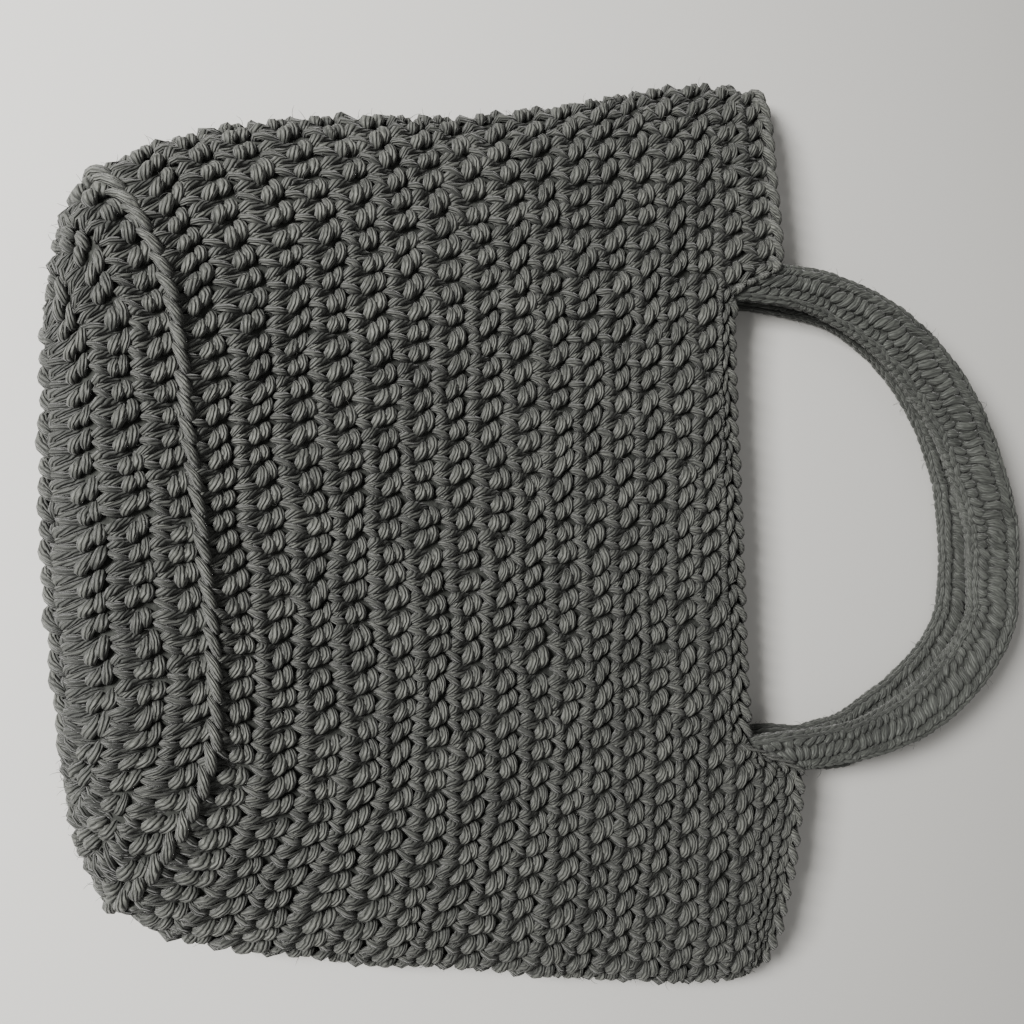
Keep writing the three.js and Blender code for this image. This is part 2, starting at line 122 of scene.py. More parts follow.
# Each stitch lists the points of its strands: across the stitch and up the round as shares of its size, and
# then out of the fabric and the strand's radius in millimetres. This is one stitch of the body.
BODY_STITCH = {
    "arch": [
        (0, 0.87, -1.4, 1.1), (0.07, 0.86, 0.3, 1.5), (0.24, 0.845, 1.4, 1.65), (0.44, 0.815, 1.7, 1.7),
        (0.62, 0.765, 1.2, 1.6), (0.73, 0.74, -0.1, 1.3)],
    "eye": [
        (0.28, 0.67, -0.4, 1.3), (0.42, 0.645, 0.9, 1.65), (0.61, 0.58, 1.8, 1.85), (0.79, 0.52, 1.8, 1.75),
        (0.91, 0.495, 0.8, 1.5), (0.96, 0.49, -0.7, 1.15)],
    "left_leg": [
        (0.04, 0.74, -1.4, 1.5), (0.06, 0.55, -0.9, 1.75), (0.12, 0.36, 0, 1.8), (0.21, 0.19, 1.5, 1.8),
        (0.32, 0.08, 2.3, 1.65), (0.41, 0.01, 1.7, 1.35), (0.46, -0.03, -0.6, 1)],
    "right_leg": [
        (1, 0.42, -0.8, 1.5), (0.96, 0.28, 0.8, 1.7), (0.88, 0.15, 2, 1.65), (0.79, 0.05, 2.1, 1.4),
        (0.73, -0.02, -0.2, 1)],
    "belly": [
        (0.32, 0.76, -1.3, 1.7), (0.39, 0.56, -0.9, 1.95), (0.49, 0.35, 0, 1.85), (0.58, 0.17, 1.5, 1.65),
        (0.61, 0.05, 1.7, 1.3), (0.62, -0.02, -0.4, 0.95)],
}

# One link of the chain round the base, and of the chain edge of the mouth
RIDGE_LINK = {
    "link": [
        (-0.26, -0.34, -1.6, 0.6), (-0.04, -0.25, 0, 1.15), (0.28, -0.07, 1.1, 1.5), (0.66, 0.08, 1.1, 1.5),
        (0.98, 0.23, 0.1, 1.15), (1.18, 0.33, -1.6, 0.6)],
}
EDGE_LINK = {
    "front": [
        (-0.2, -0.66, -0.8, 0.9), (0.05, -0.54, 1, 1.5), (0.45, -0.1, 2, 1.85), (0.85, 0.34, 1.3, 1.6),
        (1.1, 0.54, -0.6, 1)],
    "rear": [
        (-0.15, 0.1, -2.8, 0.9), (0.15, 0.33, -1.6, 1.5), (0.55, 0.42, -0.7, 1.65), (0.95, 0.28, -1.2, 1.5),
        (1.15, 0.05, -2.6, 0.9)],
}

# One column of a strap's face, from one of its edges to the other: the chain along the edge, a thin line with
# small knots beside it, a row of short puffs, and the smooth turns of the other edge
STRAP_STITCH = {
    "edge": [(-0.35, 0, -1.2, 1.2), (0.4, -0.015, 0.4, 1.7), (1.2, 0, -1.2, 1.2)],
    "rope": [
        (-0.35, 0.05, -1.4, 1), (0.05, 0.085, 0.4, 1.65), (0.45, 0.115, 0.8, 1.9), (0.85, 0.145, 0.4, 1.65),
        (1.25, 0.175, -1.4, 1)],
    "line": [
        (-0.3, 0.265, -1, 1.1), (0.1, 0.255, 0.3, 1.5), (0.45, 0.245, 0.5, 1.6), (0.85, 0.235, 0.3, 1.5),
        (1.25, 0.22, -1, 1.1)],
    "knot": [
        (0.08, 0.305, -0.9, 1.2), (0.35, 0.34, 0.3, 1.7), (0.62, 0.375, 0.5, 1.8), (0.92, 0.42, -0.9, 1.2)],
    "puff": [
        (-0.1, 0.47, -1, 1.3), (0.15, 0.505, 0.3, 1.75), (0.5, 0.55, 0.7, 2), (0.85, 0.595, 0.3, 1.75),
        (1.1, 0.63, -1, 1.3)],
    "turn": [
        (-0.3, 0.7, -1.1, 1.3), (0.15, 0.73, 0.3, 1.8), (0.5, 0.75, 0.6, 2), (0.85, 0.77, 0.3, 1.8),
        (1.3, 0.8, -1.1, 1.3)],
    "last": [
        (-0.3, 0.95, -1.1, 1.2), (0.15, 0.925, 0.3, 1.75), (0.5, 0.905, 0.5, 1.9), (0.85, 0.885, 0.3, 1.75),
        (1.3, 0.86, -1.1, 1.2)],
}

# A loose fibre, in millimetres
FIBRE = {
    "fibre": [(0, 0, 0, 0.09), (1.3, 0.3, 0, 0.08), (2.4, 1.2, 0.3, 0.06), (2.9, 2.6, 0.9, 0.03)],
}

# The widths of the stitches, the face of a strap, and how deep in the fabric the stitches are seated
BODY_PITCH = 7.6
BASE_PITCH = 6.3
STRAP_PITCH = 4.1
STRAP_FACE = 26.0
BODY_SEAT = 2.4
STRAP_SEAT = 1.8

# In rounds: how far the mouth's sections rise over the body, where their chained edges lie, and the base's own
SECTION_RISE = 1.8
EDGE_LEVEL = ROUNDS + 1.9
BASE_STITCH_ROUNDS = 3
BASE_STITCH_RISE = 1.12

# The distances in metres within which the points of a core's mesh are made one
WELD = 0.00005
FINE_WELD = 0.00002

# How unevenly the stitches are placed (as shares of a cell and in millimetres), leaned and sized
UNEVEN_PLACE = np.array([0.04, 0.03, 0.18])
UNEVEN_LEAN = 0.05
UNEVEN_GROWTH = 0.04

# Painted shade on a stitch's legs beyond their tips: how much deeper they look in millimetres, from where in
# its cell it starts, and how soon it is full
LEG_SHADE = 2.4
LEG_TIP = -0.47
LEG_FADE = 0.15

# The sides of a strand where it is seen close and at the back, and of a loose fibre
FINE_SIDES = 7
PLAIN_SIDES = 6
FIBRE_SIDES = 3

# A stitch's points and faces are sorted along this line, so that they come in the same order in each run
SORTING = Vector((1, 3.7, 11.3))

# What is repeated: its strands, the width and height it is drawn at, and its strands' segments and sides
TEMPLATES = {
    "body_stitch": (BODY_STITCH, (BODY_PITCH, ROUND_HEIGHT), (7, 7, 6, 5, 4), FINE_SIDES),
    "back_stitch": (BODY_STITCH, (BODY_PITCH, ROUND_HEIGHT), (4, 4, 3, 3, 2), PLAIN_SIDES),
    "ridge_link": (RIDGE_LINK, (6.8, 5.0), (7,), FINE_SIDES),
    "edge_link": (EDGE_LINK, (6.2, 5.4), (6, 6), FINE_SIDES),
    "strap_stitch": (STRAP_STITCH, (STRAP_PITCH, STRAP_FACE), (4, 5, 4, 4, 5, 5, 5), FINE_SIDES),
    "fibre": (FIBRE, (1.0, 1.0), (4,), FIBRE_SIDES),
}

# How many loose fibres there are on the body and on each strap
BODY_FIBRES = 1200
STRAP_FIBRES = 220

# Each yarn's colour as shares of the pale one, how many plies show round a strand and how they twist along
# it, how far they stand out, how dark the painted shade in the lines between them is, and the depths at
# which the painted shade of the fabric's hollows is darkest and at which it is gone
YARN_LOOKS = {
    "body_yarn": {
        "shares": (1.0, 1.0, 1.0), "plies": 9.0, "twist": 0.3, "relief": 1.0, "line_shade": 0.5,
        "shaded": -0.3, "lit": 3.4},
    "edge_yarn": {
        "shares": (1.12, 1.12, 1.12), "plies": 10.0, "twist": 0.4, "relief": 1.0, "line_shade": 0.5,
        "shaded": -1.4, "lit": 2.2},
    "handle_yarn": {
        "shares": (0.69, 0.71, 0.72), "plies": 8.0, "twist": 0.3, "relief": 0.5, "line_shade": 0.3,
        "shaded": -2.4, "lit": 1.8},
}
YARN_MAP = "yarn"
# The core's dark colour is painted shade in the gaps between the stitches
CORE_SHADE_COLOUR = (0.06, 0.063, 0.058, 1.0)

# The stage: the camera in millimetres and degrees from straight down, the rest in metres
CAMERA_PLACE = np.array([-8.0, -7.5, 320.0])
CAMERA_LEAN = 26.0
WINDOW_PLACE = (-0.2, -0.8, 0.58)
WINDOW_SIZE = 0.26
WINDOW_COLOUR = (1.0, 0.985, 0.96)
FLOOR_HALF = 12.0


def unit(vectors):
    return vectors / np.maximum(np.linalg.norm(vectors, axis=-1, keepdims=True), 1e-9)


def lengths_along(points):
    """How far along a line each of its points lies."""
    steps = np.linalg.norm(np.diff(points, axis=0), axis=1)
    return np.concatenate([[0], np.cumsum(steps)])


def read_along(at, length, points):
    """Points of a line at lengths along it."""
    return np.stack([np.interp(at, length, points[:, k]) for k in range(3)], axis=-1)


def smooth_table(table, key, column):
    """A curve through a table's column that never overshoots its rows."""
    xs = np.array(table[key], float)
    ys = np.array(table[column], float)
    steps = np.diff(ys) / np.diff(xs)
    slopes = np.concatenate([steps[:1], np.zeros(len(xs) - 2), steps[-1:]])
    before, after = steps[:-1], steps[1:]
    same = before * after > 0
    slopes[1:-1][same] = 2 * before[same] * after[same] / (before[same] + after[same])

    def curve(at):
        at = np.clip(at, xs[0], xs[-1])
        row = np.clip(np.searchsorted(xs, at, side="right") - 1, 0, len(xs) - 2)
        run = xs[row + 1] - xs[row]
        t = (at - xs[row]) / run
        rise = ys[row + 1] - ys[row]
        bend, settle = slopes[row] * run, slopes[row + 1] * run
        return ys[row] + bend * t + (3 * rise - 2 * bend - settle) * t**2 + (bend + settle - 2 * rise) * t**3

    return curve


left_half = smooth_table(SIDE_EDGES, "round", "left")
right_half = smooth_table(SIDE_EDGES, "round", "right")
loft_fall = smooth_table(LOFT, "round", "fall")
base_edge = smooth_table(BASE_OUTLINE, "across", "edge")
base_fold = smooth_table(BASE_OUTLINE, "across", "fold")


def mouth_corners():
    stretches = {
        "left": (-MOUTH_HALF, LEFT_ROOT - ROOT_WIDTH / 2),
        "opening": (OPENING_START, OPENING_END),
        "right": (RIGHT_ROOT + ROOT_WIDTH / 2, MOUTH_HALF * SIDE_EDGES["right"][-1]),
    }
    places = []
    for name, share, _ in MOUTH_EDGE:
        start, end = stretches[name]
        places.append(start + (end - start) * share)
    return {"x": places, "rise": [rise for _, _, rise in MOUTH_EDGE]}


mouth_rise = smooth_table(mouth_corners(), "x", "rise")


def mouth_edge(x):
    """How far along the bag the wall's edge lies at a place across it."""
    return LAST_ROUND + MOUTH_SLOPE * x / MOUTH_HALF + mouth_rise(x) * ROUND_HEIGHT


def half_width(level, across):
    return MOUTH_HALF * np.where(across < 0, left_half(level), right_half(level))


def rounded_lift(across, front):
    squareness = np.where(front, FRONT_SQUARENESS, BACK_SQUARENESS)
    lift = np.sqrt(np.clip(1 - np.abs(across) ** squareness, 0, 1))
    return np.where(front, lift, -lift)


def wall_ring(level, across, front):
    """Points of one round of the wall: level counts rounds up from the base's edge."""
    x = across * half_width(level, across)
    start = BASE_DEPTH * base_edge(across)
    top = LAST_ROUND + MOUTH_SLOPE * across
    whole = min(level, ROUNDS - 1) / ROUNDS
    y = start + (top - start) * whole
    edge = mouth_edge(x)
    if level > ROUNDS - 1:
        y = y + (np.minimum(top, edge) - y) * min(level - (ROUNDS - 1), 1)
    if level > ROUNDS:
        y = y + np.maximum(edge - top, 0) * (level - ROUNDS) / 2
    middle = (LOFT_AT_BASE + (LOFT_AT_MOUTH - LOFT_AT_BASE) * loft_fall(level)) / 2
    return np.stack([x, y, middle + rounded_lift(across, front) * middle], axis=-1)


def base_ring(level, across, front):
    """Points of one oval round of the folded base: level runs from 0 at its edge down to -BASE_ROUNDS."""
    inward = -level / BASE_ROUNDS
    x = across * (BASE_HALF + level * ROUND_HEIGHT)
    place = x / BASE_HALF
    edge = BASE_DEPTH * base_edge(place)
    fold = BASE_DEPTH * base_fold(place)
    oval_edge = BASE_DEPTH * base_edge(across)
    oval_fold = BASE_DEPTH * base_fold(across)
    y = fold + (oval_edge - oval_fold) * (1 - inward)
    share = np.clip((edge - y) / np.maximum(edge - fold, 1e-6), 0, 1)
    middle = LOFT_AT_BASE / 2
    closing = np.sqrt(np.clip(1 - share**FOLD_SQUARENESS, 0, 1))
    return np.stack([x, y, middle + rounded_lift(place, front) * middle * closing], axis=-1)


class BodySurface:
    """The bag's outer surface, read by how far round it and how many rounds up from the base's edge."""

    STEP = 0.125
    AROUND = 720
    SWEEP = 240

    def __init__(self):
        sweep = np.linspace(0, math.pi, self.SWEEP + 1)
        across = np.concatenate([-np.cos(sweep), np.cos(sweep[1:])])
        front = np.arange(len(across)) <= self.SWEEP
        self.levels = np.arange(-BASE_ROUNDS, ROUNDS + 2 + self.STEP / 2, self.STEP)
        rings = []
        self.fronts = []
        self.lengths = []
        for level in self.levels:
            ring = (wall_ring if level >= 0 else base_ring)(level, across, front)
            length = lengths_along(ring)
            rings.append(read_along(np.linspace(0, length[-1], self.AROUND + 1), length, ring))
            self.fronts.append(length[self.SWEEP] / length[-1])
            self.lengths.append(length[-1])
        self.points = np.array(rings)
        loop = self.points[:, :-1]
        along = np.roll(loop, -1, axis=1) - np.roll(loop, 1, axis=1)
        up = np.gradient(loop, axis=0)
        up[self.levels > ROUNDS - 1.5] = (0, 1, 0)
        normals = np.cross(along, up)
        flat = np.linalg.norm(normals, axis=2) < 1e-6
        normals = unit(normals)
        normals[flat] = (0, 0, 1)
        for _ in range(3):
            normals = unit(normals + (np.roll(normals, 1, axis=1) + np.roll(normals, -1, axis=1)) / 2)
        self.normals = np.concatenate([normals, normals[:, :1]], axis=1)

    def _read(self, grid, turn, level):
        column = np.mod(turn, 1) * self.AROUND
        row = np.clip((level + BASE_ROUNDS) / self.STEP, 0, len(self.levels) - 1.000001)
        c0, r0 = np.floor(column).astype(int), np.floor(row).astype(int)
        cf, rf = (column - c0)[:, None], (row - r0)[:, None]
        low = grid[r0, c0] * (1 - cf) + grid[r0, c0 + 1] * cf
        high = grid[r0 + 1, c0] * (1 - cf) + grid[r0 + 1, c0 + 1] * cf
        return low * (1 - rf) + high * rf

    def place(self, turn, level, out):
        """Points at turns round the bag, levels up it, and millimetres out of its surface."""
        normals = unit(self._read(self.normals, turn, level))
        return self._read(self.points, turn, level) + normals * out[:, None]

    def length_at(self, level):
        return np.interp(level, self.levels, self.lengths)

    def fanned(self, turn, level, middle):
        """Turns that keep an oval round's stitches straight along its sides and fanned at its ends."""
        seam = np.interp(level, self.levels, self.fronts)
        turn = np.mod(turn, 1)
        front = turn < seam
        centre = np.where(front, seam / 2, (1 + seam) / 2)
        half = np.where(front, seam / 2, (1 - seam) / 2)
        share = (turn - centre) / half
        fan = np.clip((np.abs(share) - 0.5) / 0.5, 0, 1)
        fan = fan * fan * (3 - 2 * fan)
        straight = np.clip(self.length_at(middle) / self.length_at(level), 0, 1.9)
        return centre + half * share * (fan + (1 - fan) * straight)

    def turn_at(self, level, x, front):
        """Where round the bag a place across the front or the back lies."""
        row = round((level + BASE_ROUNDS) / self.STEP)
        xs = self.points[row, :, 0]
        seam = round(self.fronts[row] * self.AROUND)
        turns = np.arange(self.AROUND + 1) / self.AROUND
        if front:
            return np.interp(x, xs[: seam + 1], turns[: seam + 1])
        return np.interp(x, xs[seam:][::-1], turns[seam:][::-1])


def new_object(name, data):
    thing = bpy.data.objects.new(name, data)
    bpy.context.collection.objects.link(thing)
    return thing


def new_mesh_object(name, bm):
    mesh = bpy.data.meshes.new(name)
    bm.to_mesh(mesh)
    bm.free()
    return new_object(name, mesh)


def smooth_path(points, segments):
    """Points and radii spread evenly along a smooth curve through the given ones."""
    points = np.array(points, float)
    length = lengths_along(points[:, :3])
    at = np.linspace(0, length[-1], segments + 1)
    tangents = np.gradient(points, length, axis=0)
    row = np.clip(np.searchsorted(length, at, side="right") - 1, 0, len(points) - 2)
    run = (length[row + 1] - length[row])[:, None]
    t = (at - length[row])[:, None] / run
    a, b = points[row], points[row + 1]
    ta, tb = tangents[row] * run, tangents[row + 1] * run
    path = (2 * t**3 - 3 * t**2 + 1) * a + (t**3 - 2 * t**2 + t) * ta
    return path + (3 * t**2 - 2 * t**3) * b + (t**3 - t**2) * tb


def add_strand(bm, points, segments, sides, ply_turn):
    """Extrudes one closed strand of yarn along its points, with its plies laid out in the UV map."""
    path = smooth_path(points, segments)
    centres = [Vector(row[:3]) for row in path]
    tangents = []
    for index in range(segments + 1):
        ahead, behind = centres[min(index + 1, segments)], centres[max(index - 1, 0)]
        tangents.append((ahead - behind).normalized())
    side = tangents[0].orthogonal().normalized()
    uv_layer = bm.loops.layers.uv.get(YARN_MAP) or bm.loops.layers.uv.new(YARN_MAP)
    ring = bmesh.ops.create_circle(bm, cap_ends=True, radius=1.0, segments=sides)["verts"]
    flat_ring = [vert.co.copy() for vert in ring]
    where = {}
    length = 0.0

    def seat(verts, index):
        nonlocal side
        tangent = tangents[index]
        side = (side - tangent * side.dot(tangent)).normalized()
        turn = Matrix((side, tangent.cross(side), tangent)).transposed()
        for step, vert in enumerate(verts):
            vert.co = centres[index] + turn @ (flat_ring[step] * path[index][3])
            where[vert] = (step, length)

    seat(ring, 0)
    edges = [edge for edge in bm.edges if all(vert in ring for vert in edge.verts)]
    for index in range(1, segments + 1):
        length += (centres[index] - centres[index - 1]).length
        grown = bmesh.ops.extrude_edge_only(bm, edges=edges)["geom"]
        follow = {}
        for vert in (item for item in grown if isinstance(item, bmesh.types.BMVert)):
            for edge in vert.link_edges:
                other = edge.other_vert(vert)
                if other in where:
                    follow[where[other][0]] = vert
        ring = [follow[step] for step in range(sides)]
        seat(ring, index)
        edges = [
            item for item in grown
            if isinstance(item, bmesh.types.BMEdge) and all(vert in ring for vert in item.verts)]
    bmesh.ops.edgeloop_fill(bm, edges=edges)
    for face in bm.faces:
        if all(vert in where for vert in face.verts):
            steps = [where[vert][0] for vert in face.verts]
            wraps = 0 in steps and sides - 1 in steps and len(steps) == 4
            for loop in face.loops:
                step, along = where[loop.vert]
                around = 1.0 if wraps and step == 0 else step / sides
                loop[uv_layer].uv = (around + ply_turn, along)
            face.smooth = True


def make_stitch(name, strands, size, segments, sides):
    """One stitch as a small mesh in shares of its cell, ready to be repeated, with its legs marked."""
    bm = bmesh.new()
    leg = bm.verts.layers.float.new("leg")
    for index, (strand, points) in enumerate(strands.items()):
        scaled = [(u * size[0], v * size[1], out, radius) for u, v, out, radius in points]
        others = set(bm.verts)
        add_strand(bm, scaled, segments[index], sides, index * 0.37)
        for vert in bm.verts:
            if vert not in others and "leg" in strand:
                vert[leg] = 1.0
    bmesh.ops.recalc_face_normals(bm, faces=bm.faces)
    bmesh.ops.scale(bm, vec=(1 / size[0], 1 / size[1], 1), verts=bm.verts)
    bm.verts.sort(key=lambda vert: vert.co.dot(SORTING))
    bm.faces.sort(key=lambda face: face.calc_center_median().dot(SORTING))
    return new_mesh_object(name, bm)


def crochet(name, stitch, columns, rows):
    """Repeats a stitch with array modifiers: columns along +X, then rows along +Y, one unit apart."""
    piece = new_object(name, stitch.data.copy())
    for label, count, offset in (("columns", columns, (1, 0, 0)), ("rows", rows, (0, 1, 0))):
        array = piece.modifiers.new(label, "ARRAY")
        array.use_relative_offset = False
        array.use_constant_offset = True
        array.constant_offset_displace = offset
        array.count = count
    bpy.context.view_layer.update()
    made = bpy.data.meshes.new_from_object(piece.evaluated_get(bpy.context.evaluated_depsgraph_get()))
    piece.modifiers.clear()
    old = piece.data
    piece.data = made
    bpy.data.meshes.remove(old)
    made.name = name
    return piece


def read_points(mesh):
    points = np.empty(len(mesh.vertices) * 3)
    mesh.vertices.foreach_get("co", points)
    return points.reshape(-1, 3)


def write_points(mesh, points_mm):
    """Sets a mesh's points from the bag's own frame, in metres and from the middle of the whole bag."""
    points = (points_mm - BAG_MIDDLE) * MILLIMETRE
    mesh.vertices.foreach_set("co", points.astype(np.float32).ravel())
    mesh.update()


def give_values(mesh, name, values):
    layer = mesh.attributes.new(name, "FLOAT", "POINT")
    layer.data.foreach_set("value", values.astype(np.float32))


def swatch(name, kind, columns, rows, seed, unevenness, shade=0.0):
    """Repeats a stitch, each moved, leaned and sized a little: the piece, its points and their cells.

    The painted shade of the yarn's finish follows how deep each point lies, taken deeper by the shade given
    and on the legs beyond their tips."""
    stitch = shared[kind]
    piece = crochet(name, stitch, columns, rows)
    points = read_points(piece.data)
    cell = np.arange(len(points)) // len(stitch.data.vertices)
    column, row = cell % columns, cell // columns
    random = np.random.default_rng(seed)
    count = columns * rows
    shift = random.normal(0, 1, (count, 3)) * UNEVEN_PLACE * unevenness
    lean = random.normal(0, UNEVEN_LEAN, count) * unevenness
    grow = 1 + random.normal(0, UNEVEN_GROWTH, count) * unevenness
    centres = np.stack([column + 0.5, row + 0.5, np.zeros(len(points))], axis=-1)
    inner = points - centres
    turned = np.stack([
        inner[:, 0] + inner[:, 1] * lean[cell] * 1.6,
        inner[:, 1] - inner[:, 0] * lean[cell] * 0.6,
        inner[:, 2],
    ], axis=-1) * grow[cell][:, None]
    points = turned + centres + shift[cell]
    give_values(piece.data, "tint", random.normal(0.5, 0.16, count).clip(0, 1)[cell])
    # Painted shade: the legs beyond their tips, and pieces given a shade, read as lying deeper and come out
    # darker
    leg = np.empty(len(points))
    piece.data.attributes["leg"].data.foreach_get("value", leg)
    beyond = np.clip((inner[:, 1] - LEG_TIP) / LEG_FADE, 0, 1)
    give_values(piece.data, "shade_depth", inner[:, 2] - shade - LEG_SHADE * leg * beyond)
    return piece, points, column, row


def mesh_on_grid(columns, rows, place, weld):
    """A grid laid by its shares along and across on a surface in millimetres, with what meets welded."""
    bm = bmesh.new()
    bmesh.ops.create_grid(bm, x_segments=columns, y_segments=rows, size=0.5)
    grid = np.array([vert.co[:] for vert in bm.verts])
    placed = (place(grid[:, 0] + 0.5, grid[:, 1] + 0.5) - BAG_MIDDLE) * MILLIMETRE
    for vert, point in zip(bm.verts, placed):
        vert.co = point
    bmesh.ops.remove_doubles(bm, verts=bm.verts, dist=weld)
    return bm


def finish_piece(piece, finish, node):
    piece.data.materials.clear()
    piece.data.materials.append(shared[finish])
    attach(piece, "root")
    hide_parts(node)


def lay(piece, placed, yarn, node):
    """Puts a piece of yarn where its points belong, over the node that it stands in for."""
    write_points(piece.data, settle_on_floor(placed))
    finish_piece(piece, yarn, node)


class Value:
    """A node's output that can be used in sums."""

    def __init__(self, finish, socket):
        self.finish = finish
        self.socket = socket

    def _sum(self, operation, other, reflected=False):
        pair = (other, self) if reflected else (self, other)
        return self.finish.add("ShaderNodeMath", {"operation": operation}, {0: pair[0], 1: pair[1]})

    def __add__(self, other):
        return self._sum("ADD", other)

    __radd__ = __add__

    def __sub__(self, other):
        return self._sum("SUBTRACT", other)

    def __rsub__(self, other):
        return self._sum("SUBTRACT", other, reflected=True)

    def __mul__(self, other):
        return self._sum("MULTIPLY", other)

    __rmul__ = __mul__

    def __pow__(self, other):
        return self._sum("POWER", other)

    def sine(self):
        return self.finish.add("ShaderNodeMath", {"operation": "SINE"}, {0: self})

    def size(self):
        return self.finish.add("ShaderNodeMath", {"operation": "ABSOLUTE"}, {0: self})

    def between(self, low, high):
        inputs = {"Value": self, "From Min": low, "From Max": high}
        return self.finish.add("ShaderNodeMapRange", {"clamp": True}, inputs)


class Finish:
    """A material and its nodes."""

    def __init__(self, name):
        self.material = bpy.data.materials.new(name)
        self.material.use_nodes = True
        self.nodes = self.material.node_tree.nodes
        self.links = self.material.node_tree.links
        self.nodes.clear()

    def add(self, kind, settings=None, inputs=None, output=0):
        node = self.nodes.new(kind)
        for name, value in (settings or {}).items():
            setattr(node, name, value)
        for name, value in (inputs or {}).items():
            if isinstance(value, Value):
                self.links.new(value.socket, node.inputs[name])
            else:
                node.inputs[name].default_value = value
        return Value(self, node.outputs[output])

    def noise(self, place, scale, detail):
        return self.add("ShaderNodeTexNoise", {}, {"Vector": place, "Scale": scale, "Detail": detail})

    def strand_noise(self, around, along, stitch, detail):
        """Noise on a strand's own places, different in each stitch."""
        place = self.add("ShaderNodeCombineXYZ", {}, {"X": around, "Y": along, "Z": stitch})
        return self.noise(place, 1.0, detail)

    def object_place(self):
        return self.add("ShaderNodeTexCoord", output=3)

    def attribute(self, name):
        return self.add("ShaderNodeAttribute", {"attribute_name": name}, output=2)

    def blend(self, factor, low, high):
        inputs = {"Factor": factor, 6: low, 7: high}
        return self.add("ShaderNodeMix", {"data_type": "RGBA", "clamp_factor": True}, inputs, output=2)

    def surface(self, inputs):
        shader = self.add("ShaderNodeBsdfPrincipled", {}, inputs)
        output = self.nodes.new("ShaderNodeOutputMaterial")
        self.links.new(shader.socket, output.inputs["Surface"])
        return self.material


def dimmed(colour, shares):
    return (*np.multiply(colour[:3], shares), 1.0)


def yarn_finish(name, deep, pale, shares, plies, twist, relief, line_shade, shaded, lit):
    """Plied yarn: ridges along the strand, fine fibres on them, and a little change from stitch to stitch.

    Its colour carries painted shade in the lines between the plies and in the fabric's hollows.
    """
    finish = Finish(name)
    uv = finish.add("ShaderNodeUVMap", {"uv_map": YARN_MAP})
    around = finish.add("ShaderNodeSeparateXYZ", {}, {"Vector": uv})
    along = Value(finish, around.socket.node.outputs[1])
    tint = finish.attribute("tint")
    sway = finish.strand_noise(around * 4.0, along * 0.25, tint * 30.0, 1.0)
    ply_place = around * plies + along * twist + sway * 1.4
    ply = (ply_place * math.pi).sine().size()
    fibre = finish.strand_noise(around * 34.0, along * 0.8, tint * 40.0, 3.0)
    streak = finish.strand_noise(ply_place * 1.3, along * 0.45, tint * 50.0, 2.0)
    patch = finish.noise(finish.object_place(), 60.0, 2.0)
    shade_depth = finish.attribute("shade_depth")
    # Painted shade: the colour is darkened in the lines between the plies
    ply_line_shade = ply.between(0.05, 0.85) * line_shade + (1.0 - line_shade)
    light = (fibre - 0.5) * 1.2 + (streak - 0.5) * 1.7 + (tint - 0.5) * 0.4 + (patch - 0.5) * 0.6 + 0.6
    # Painted shade: the deeper a point lies in the fabric, the darker its colour
    raised = shade_depth.between(shaded, lit) ** 1.5 * 0.82 + 0.18
    # The colour runs from the deep one, where painted shade and darker fibres fall, to the pale one
    colour = finish.blend(light.between(0.0, 1.0) ** 1.2 * ply_line_shade * raised, deep, dimmed(pale, shares))
    height = ply ** 0.7 * 0.85 + fibre * 0.3
    normal = finish.add("ShaderNodeBump", {}, {"Strength": relief, "Distance": 0.0008, "Height": height})
    return finish.surface({
        "Base Color": colour, "Roughness": 0.6, "Specular IOR Level": 0.4,
        "Sheen Weight": 0.15, "Sheen Roughness": 0.45, "Normal": normal})


def core_shade_finish(name, colour):
    """The inside of the fabric, which shows between the stitches, dark with painted shade."""
    finish = Finish(name)
    grain = finish.noise(finish.object_place(), 500.0, 3.0)
    shade = finish.blend(grain, dimmed(colour, 0.4), colour)
    normal = finish.add("ShaderNodeBump", {}, {"Strength": 0.6, "Distance": 0.001, "Height": grain})
    return finish.surface({
        "Base Color": shade, "Roughness": 0.95, "Specular IOR Level": 0.1, "Normal": normal})


class HandbagSettings(bpy.types.PropertyGroup):
    stitches_around: bpy.props.IntProperty(
        name="Stitches around", description="Stitches in one round of the body", default=80, min=40, max=120)
    slant: bpy.props.FloatProperty(
        name="Slant", description="How far a round's stitches move on from those below", default=0.19)
    # The deep colour is painted shade between the plies and in the fabric's hollows, and the dark end of the
    # yarn's changes of tone
    yarn_deep_shade: bpy.props.FloatVectorProperty(
        name="Yarn, deep", description="Colour between the plies", subtype="COLOR", size=4,
        default=(0.024, 0.026, 0.0235, 1.0))
    yarn_pale: bpy.props.FloatVectorProperty(
        name="Yarn, pale", description="Colour on top of the plies", subtype="COLOR", size=4,
        default=(0.149, 0.154, 0.137, 1.0))
    floor_colour: bpy.props.FloatVectorProperty(
        name="Floor", description="Colour of the floor", subtype="COLOR", size=4,
        default=(0.74, 0.735, 0.71, 1.0))
    key_power: bpy.props.FloatProperty(
        name="Key light", description="Power of the soft light from the base's side", default=22.0,
        unit="POWER")
    fill_strength: bpy.props.FloatProperty(
        name="Fill light", description="Strength of the even light from all round", default=0.24)


# What the first operator makes for the others: the surfaces, the templates and the finishes
shared = {}


